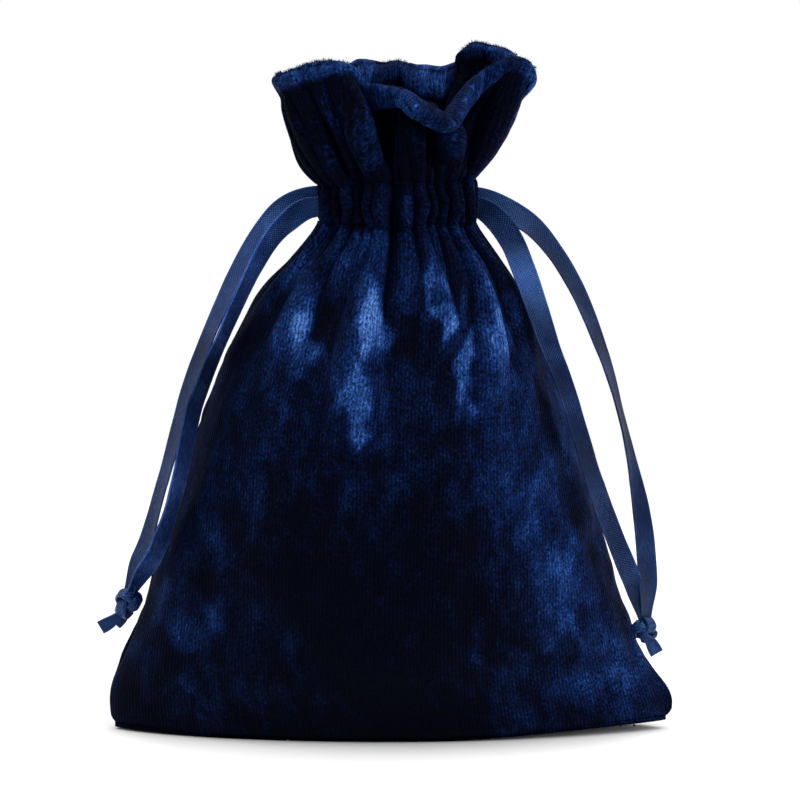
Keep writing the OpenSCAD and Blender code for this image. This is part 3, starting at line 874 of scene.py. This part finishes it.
def add_lining(front):
    """The cut edge of the panel, folded down inside the channel."""
    which = side_name(front)
    t = np.linspace(0, 1, 20)[:, None]
    z = CHANNEL_Z + 0.3 + t * (FLAP_Z - CHANNEL_Z + 0.3)
    closing = smoothstep(t, 0.88, 1.0)
    middle, thickness = band(front, z, 3.4 - 2.5 * closing, 0.5 + 0.25 * closing,
                             -0.4 * np.sin(math.pi * t), 0.9 + 0 * t, 161)
    piece = add_cloth(f"{which}_lining_velvet", middle, thickness, z, front, 0.15)
    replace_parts(piece, f"{which}_lining")
    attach(piece, f"{which}_neck")
    return piece


def tube(path, radius, around=8):
    """Vertices and faces of a round thread along a path, rounded off at both ends."""
    tangent = unit(np.gradient(path, axis=0))
    side = unit(np.cross(tangent, [0, 0, 1.0]))
    up = np.cross(side, tangent)
    end = np.sqrt(np.clip(1 - np.abs(np.linspace(-1, 1, len(path))) ** 6, 0.02, 1))
    angle = np.linspace(0, 2 * math.pi, around, endpoint=False)
    rings = path[:, None] + radius * end[:, None, None] * (
        side[:, None] * np.cos(angle)[None, :, None] + up[:, None] * np.sin(angle)[None, :, None])
    index = np.arange(len(path) * around).reshape(len(path), around)
    faces = grid_quads(np.pad(index, ((0, 0), (0, 1)), mode="wrap")).tolist()
    return rings.reshape(-1, 3), faces + [index[0].tolist(), index[-1, ::-1].tolist()]


def add_neck_stitching(front, name, z, line):
    """A row of hand-length stitches that lie in the groove and dip through the cloth at each end."""
    which = side_name(front)
    stitches, half_length = 15, 0.036
    parts = []
    for centre in np.linspace(-0.9, 0.9, stitches):
        s = np.linspace(centre - half_length, centre + half_length, 11)
        x, y, out_x, out_y = neck_curve(s, front, 0.0, 0.80)
        lift = -0.08 - np.abs(np.linspace(-1, 1, 11)) ** 5
        path = np.stack([x + out_x * lift, y + out_y * lift, z + line_wander(s, front, line)], axis=-1)
        parts.append(tube(path, 0.24))
    piece = make_object(f"{which}_{name}_thread", *join(parts), THREAD, f"{which}_neck", "thread")
    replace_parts(piece, f"{which}_{name}_stitching")


def add_run(front, side, z, seed):
    """The part of a ribbon inside the channel, crushed narrow by the gathers."""
    which = side_name(front)
    t = np.linspace(-1, 1, 9)[:, None]
    s = np.linspace(-1, 1, 181)[None, :]
    height = 2.15 + 0.25 * noise(s * 5, 0.3, seed)
    crumple = 0.25 * noise(s * 14, t, seed)
    middle, thickness = band(front, z + t * height, 1.9, 0.45, crumple, 0.4 + 0 * t, s.size)
    if front < 0:
        middle, thickness = middle[:, ::-1], thickness[:, ::-1]
    uv = cloth_uv(middle, t * 3.1)[..., ::-1]
    run = make_object(f"{side}_{which}_run_ribbon", *slab(middle, thickness, uv), SATIN,
                      f"{which}_neck", "satin_ribbon")
    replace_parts(run, f"{side}_{which}_run")


# ---------------- the ruffle

# Rim of each flap: cloth place, then x, y, z of the rim, and how far it turns over outwards.
RIMS = {
    1: [
        (-1, -18.5, -2.4, 158.8, -0.2), (-0.93, -22, -3.6, 158.2, -0.25),
        (-0.84, -24.4, -5, 157.4, -0.3), (-0.74, -25.4, -7.6, 157.2, -0.3),
        (-0.62, -24.6, -10.8, 157.8, -0.1), (-0.46, -21, -13.5, 159.4, 0.1),
        (-0.28, -16, -14.6, 161, 0.3), (-0.19, -12.8, -13, 161, 0.3),
        (-0.11, -9.2, -8.6, 158.6, 0.3), (-0.04, -6.6, -7.6, 155.4, 0.4),
        (0.06, -2.5, -12.5, 155.2, 0.6), (0.16, 2.2, -17.5, 154, 0.8),
        (0.27, 7.2, -21.5, 149.8, 1), (0.38, 12.4, -23.8, 146.4, 1.1),
        (0.49, 16.2, -20.2, 149, 0.9), (0.58, 18.6, -14.6, 153.8, 0.6),
        (0.66, 22, -11.4, 157.8, 0.4), (0.75, 26.2, -10.2, 160.2, 0.4),
        (0.84, 30.4, -8, 160.8, 0.4), (0.91, 33, -5.4, 159.2, 0.4), (0.96, 32.4, -3.9, 158, 0.3),
        (1, 30.5, -2.4, 157.4, 0.3)],
    -1: [
        (-1, -20.5, 2.4, 158.6, 0.2), (-0.85, -19, 8, 159, 0.3), (-0.65, -13.5, 12.4, 158.8, 0.3),
        (-0.42, -7, 14.2, 159.6, 0.3), (-0.25, -2.4, 17.6, 159.4, 0.5),
        (-0.05, 2.5, 19.2, 158.8, 0.6), (0.14, 7.5, 17, 158.6, 0.3), (0.32, 12, 15, 158.4, 0.2),
        (0.48, 15.8, 14.4, 159.2, 0.2), (0.6, 18, 13.4, 161.6, 0.2), (0.7, 19.8, 12.8, 164, 0.2),
        (0.8, 23.4, 13, 163.6, 0.3), (0.9, 28.4, 9, 161.8, 0.3), (1, 31, 2.4, 159.6, 0.3)],
}
# Extra folds part of the way up each flap: cloth place, depth, width, height share.
DENTS = {
    1: [
        (-0.86, -1, 0.05, 0.4), (-0.66, 1.2, 0.06, 0.5), (-0.47, -1.6, 0.05, 0.35),
        (-0.2, 2.2, 0.045, 0.5), (-0.055, -4.4, 0.05, 0.42), (0.07, -0.8, 0.04, 0.4),
        (0.17, 2, 0.05, 0.4), (0.36, -3.8, 0.07, 0.34), (0.55, 2.2, 0.045, 0.45),
        (0.69, -4, 0.07, 0.45), (0.9, 1.6, 0.05, 0.55)],
    -1: [
        (-0.75, -1.8, 0.06, 0.4), (-0.52, 1.2, 0.06, 0.5), (-0.3, -1.6, 0.06, 0.4),
        (-0.06, 1.6, 0.07, 0.5), (0.2, -2.2, 0.07, 0.42), (0.44, 1.2, 0.06, 0.5),
        (0.62, -1.8, 0.06, 0.45), (0.84, 1.2, 0.06, 0.5)],
}
RUFFLE_LENGTH = 30.0


def flap_surface(front, columns, rows):
    """Middle surface of a flap: every rib of cloth has the same length from the neck to the rim."""
    s = np.linspace(-1, 1, columns)
    table = np.array(RIMS[front])
    rim = curve_through(table[:, 0], table[:, 1:], s)
    top, turn = rim[:, :3], rim[:, 3:4] * 1.5
    x, y, out_x, out_y = neck_curve(s, front, 0.0, 0.80)
    foot_z = FLAP_Z - 1.9 + line_wander(s, front, 1)
    foot = np.stack([x - 0.7 * out_x, y - 0.7 * out_y, foot_z], axis=-1)
    outward = 0.6 * np.stack([out_x, out_y, 0 * out_x], axis=-1) + 0.4 * unit((top - foot) * [1, 1, 0])
    flare = 0.15 + 0.6 * smoothstep(s, 0.35, 0.85) + 1.3 * smoothstep(-s, 0.3, 0.75) * (front > 0)
    flare, up = flare[:, None], np.array([0, 0, 1.0])
    start_way = (up + flare * outward) / np.sqrt(1 + flare ** 2)
    end_way = outward * np.sin(turn) + up * np.cos(turn)
    v = np.linspace(0, 1, rows)[:, None, None]
    h01 = v * v * (3 - 2 * v)

    def ribs(size):
        size = size[None, :, None]
        return ((1 - h01) * foot + h01 * top + v * (1 - v) ** 2 * start_way * size
                - v * v * (1 - v) * end_way * size)

    low, high = np.full(columns, 12.0), np.full(columns, 62.0)
    for _ in range(12):
        size = (low + high) / 2
        short = np.linalg.norm(np.diff(ribs(size), axis=0), axis=2).sum(axis=0) < RUFFLE_LENGTH
        low, high = np.where(short, size, low), np.where(short, high, size)
    size = np.convolve(np.pad((low + high) / 2, 8, mode="edge"), np.ones(17) / 17, mode="valid")
    return s[None, :], ribs(size)


def add_pile_fringe(name, roots, ways, count, seed, body, size=1.0):
    """Loose pile along an edge: fine tapered tufts that root in the cloth and lean outwards."""
    random = np.random.default_rng(seed)
    width = 0.075
    pick = random.integers(0, len(roots), count)
    way = unit(unit(ways[pick]) + random.normal(0, 0.45, (count, 3)))
    root = roots[pick] + random.normal(0, 0.16, (count, 3))
    length = size * random.uniform(0.55, 1.15, count)[:, None]
    side = unit(np.cross(way, random.normal(0, 1, (count, 3))))
    other = np.cross(way, side)
    thirds = (0, 2.094, 4.189)
    corners = [root + width * (side * math.cos(turn) + other * math.sin(turn)) for turn in thirds]
    verts = np.stack(corners + [root + way * length], axis=1).reshape(-1, 3)
    first = np.arange(count)[:, None] * 4
    faces = np.concatenate([first + np.array(f) for f in ((0, 2, 1), (0, 1, 3), (1, 2, 3), (2, 0, 3))])
    lay_and_painted_light = 0.30 * size + 0.25 * random.random(count)
    uvs = np.stack([np.repeat(pick * 0.5, 4), np.tile([0, 0, 0, 2.0], count), np.repeat(lay_and_painted_light, 4)], axis=1)
    return make_object(name, verts, faces.tolist(), uvs, VELVET, body, "velvet", smooth=False)


def add_ruffle(front, seed):
    """A flap of the ruffle: one layer of cloth folded over on itself, with a full soft rim."""
    which = side_name(front)
    columns, rows = 261, 60
    s, middle = flap_surface(front, columns, rows)
    t = np.linspace(0, 1, rows)[:, None]
    normal = grid_normals(middle) * front
    depth = np.zeros((rows, columns))
    for place, tall, width, height in DENTS[front]:
        depth += 1.5 * tall * bell(s, place, width) * bell(t, height, 0.30)
    depth *= smoothstep(t, 0.05, 0.2)
    fine = neck_gathers(s, front) - 2.2
    depth += 0.60 * fine * smoothstep(t, 0.03, 0.3) * (1 - smoothstep(t, 0.35, 1.05))
    wander = 0.45 * noise(s * 7, t * 3, seed) + 0.22 * noise(s * 19, t * 7, seed + 1)
    middle = middle + normal * (depth + wander * smoothstep(t, 0.05, 0.3))[..., None]
    middle[..., 2] += 0.5 * noise(s * 9, 0.2, seed + 2) * t ** 2
    # Softly keep the flap on its own side of the slit.
    keep = SLIT_GAP - 0.6 * smoothstep(t, 0.1, 0.4)
    over = (-front * middle[..., 1] - keep) / 0.9
    over = 0.9 * np.where(over > 20, over, np.log1p(np.exp(np.minimum(over, 20))))
    loose = 0.45 * (1 + noise(s * 5, t * 4, seed + 3)) * np.exp(-over / 1.5) * smoothstep(t, 0.15, 0.5)
    middle[..., 1] = -front * (keep + over + loose)
    # The rim is the thick fold, and the cloth thins out at its foot and its sides.
    from_rim = (1 - t) * RUFFLE_LENGTH
    thick = 1.7 + 3.1 * bell(from_rim, 3.0, 2.2) - 0.4 * bell(from_rim, 7.2, 1.2)
    thick = thick + 0.35 * noise(s * 12, from_rim / 6, seed + 4)
    thick = thick * rounded(from_rim, 2.3) * rounded(t * RUFFLE_LENGTH, 2.2)
    thick = thick * rounded(1 - np.abs(s), 0.022)
    # Painted light on the flap: lighter where folds stand out and on their right flanks as painted
    # highlights, a broad painted highlight along the rolled rim and up the right edge, and painted shade
    # in the hollows of the two lobes; the noise is the pile's own random tone.
    lay_and_painted_light = 0.09 + 0.035 * depth + 0.15 * painted_light_flank(depth, s, 55) + 0.13 * noise(s * 6, t * 3, seed + 6)
    lay_and_painted_light = lay_and_painted_light + 0.50 * (1 - smoothstep(from_rim, 4.4, 6.6)) + 0.30 * smoothstep(s, 0.80, 0.95)
    lay_and_painted_light = lay_and_painted_light - 0.14 * bell(np.abs(s), 0.68, 0.10) * smoothstep(from_rim, 5, 8)
    piece = add_cloth(f"{which}_ruffle_velvet", middle, thick, FLAP_Z + t * RUFFLE_LENGTH, front, lay_and_painted_light,
                      closed=(True, True, True, True), even=True)
    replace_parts(piece, f"{which}_ruffle", f"{which}_facing")
    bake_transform(piece)
    row = rows - 3
    outward = grid_normals(middle)[row] * front
    roots = np.concatenate([middle[row] + outward * thick[row][:, None] * k for k in (-0.4, 0, 0.4)])
    ways = np.concatenate([middle[-1] - middle[-4] + outward * 1.2 * k for k in (-1, 0, 1)])
    fringe = add_pile_fringe(f"{which}_rim_pile", roots, ways, 3600, seed + 9, f"{which}_flap")


for front, seed in ((1, 11), (-1, 23)):
    add_panel(front, seed)
    add_channel(front, seed + 100)
    add_neck_stitching(front, "lower", CHANNEL_Z + 0.9, 0)
    add_neck_stitching(front, "upper", FLAP_Z - 1.35, 1)
    add_run(front, "left", 124.4, seed + 300)
    add_run(front, "right", 129.0, seed + 400)
    add_ruffle(front, seed + 500)


def seam_x(z, side, inset):
    """Where the side seam runs at height z, with what lies inset inside it."""
    x, _, _, _ = wall(np.full(np.shape(z), float(side)), z, 1)
    return x - side * inset


def add_stitches(name, centres, node, half_length=0.7):
    """Short straight stitches through both panels, front to back, one at each centre."""
    parts = []
    for x, z in centres:
        y = np.linspace(-half_length, half_length, 7)
        bow = 0.12 * (1 - (y / half_length) ** 2)
        parts.append(tube(np.stack([x + 0 * y, y, z + bow], axis=-1), 0.26))
    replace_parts(make_object(name, *join(parts), THREAD, "bag", "thread"), node)


def add_allowance(name, edge, inner, node, seed):
    """A turned-in cut edge: a thin, slightly wavy strip from the seam inwards."""
    t = np.linspace(0, 1, 9)[None, :, None]
    middle = edge[:, None, :] * (1 - t) + inner[:, None, :] * t
    place = np.linspace(0, 1, len(edge))[:, None]
    middle[..., 1] += 0.22 * noise(place * 16, t[..., 0] * 2, seed) * t[..., 0]
    lay_and_painted_light = np.full(middle.shape[:2], 0.12)
    strip = slab(middle, np.full(lay_and_painted_light.shape, 0.6), cloth_uv(middle, place * 110, lay_and_painted_light))
    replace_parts(make_object(name, *strip, VELVET_IN_PAINTED_SHADE, "bag", "velvet"), node)


STITCH_STEP = 3.2
ALLOWANCE = 5.0
heights = np.linspace(10, 107, 90)
for side, name in ((-1, "left"), (1, "right")):
    places = np.arange(6, 108, STITCH_STEP)
    centres = zip(seam_x(places, side, 1.9), places + 0.55)
    add_stitches(f"{name}_side_seam_thread", centres, f"{name}_side_seam")
    rim = np.stack([seam_x(heights, side, 2.6), 0 * heights, heights], axis=-1)
    add_allowance(f"{name}_allowance_velvet", rim, rim - [side * ALLOWANCE, 0, 0],
                  f"{name}_seam_allowance", 81 + side)
centres = [(x, 0.62) for x in np.arange(-60, 60, STITCH_STEP)]
add_stitches("bottom_seam_thread", centres, "bottom_seam", 0.5)
along = np.linspace(-56, 54, 90)
foot = np.stack([along, 0 * along, 0 * along + 1.5], axis=-1)
add_allowance("bottom_allowance_velvet", foot, foot + [0, 0, ALLOWANCE], "bottom_seam_allowance", 85)
